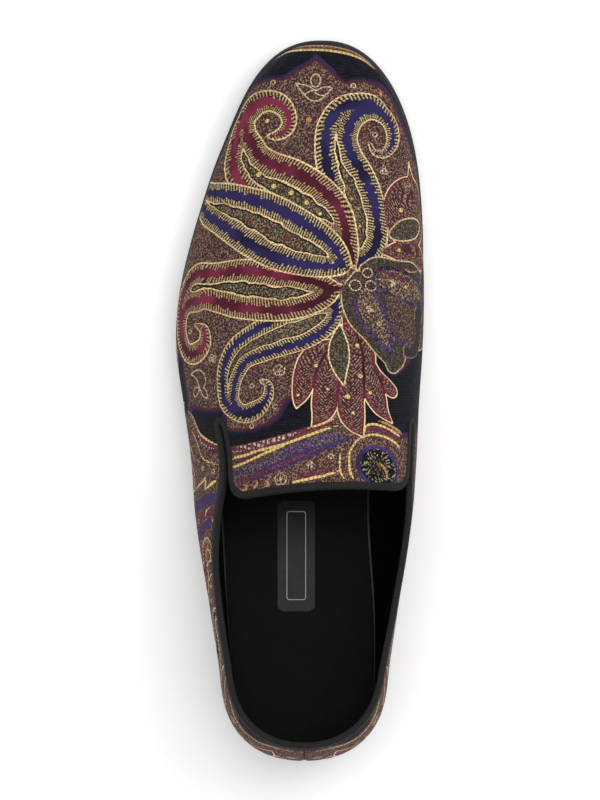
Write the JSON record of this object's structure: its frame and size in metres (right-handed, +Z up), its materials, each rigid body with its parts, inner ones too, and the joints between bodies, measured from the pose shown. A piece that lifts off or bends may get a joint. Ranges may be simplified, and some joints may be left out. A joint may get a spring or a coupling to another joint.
{
  "type": "loafer",
  "caption": "Left slip-on evening loafer: whole-cut paisley cloth upper with a square tab over the instep, taped topline, thin leather sole and low stacked heel.",
  "frame": {"origin": "on the floor, under the middle of the shoe's box", "axes": "+Y from heel to toe, +X to the big-toe side, +Z up"},
  "size_m": [0.1033, 0.3, 0.0861],
  "materials": {
    "sole_leather": "black burnished leather, satin",
    "heel_leather": "black stacked leather, satin",
    "heel_rubber": "black rubber, matt",
    "sock_leather": "black lining leather, matt",
    "jacquard_cloth": "woven paisley jacquard in plum, navy, olive and gold",
    "grosgrain_tape": "black ribbed tape"
  },
  "bodies": {
    "root": {"outsole": "sole_leather", "heel_lift_1": "heel_leather", "heel_lift_2": "heel_leather", "heel_lift_3": "heel_leather", "heel_top_piece": "heel_rubber", "insole": "sock_leather", "upper": "jacquard_cloth", "topline_binding": "grosgrain_tape"}
  },
  "joints": []
}
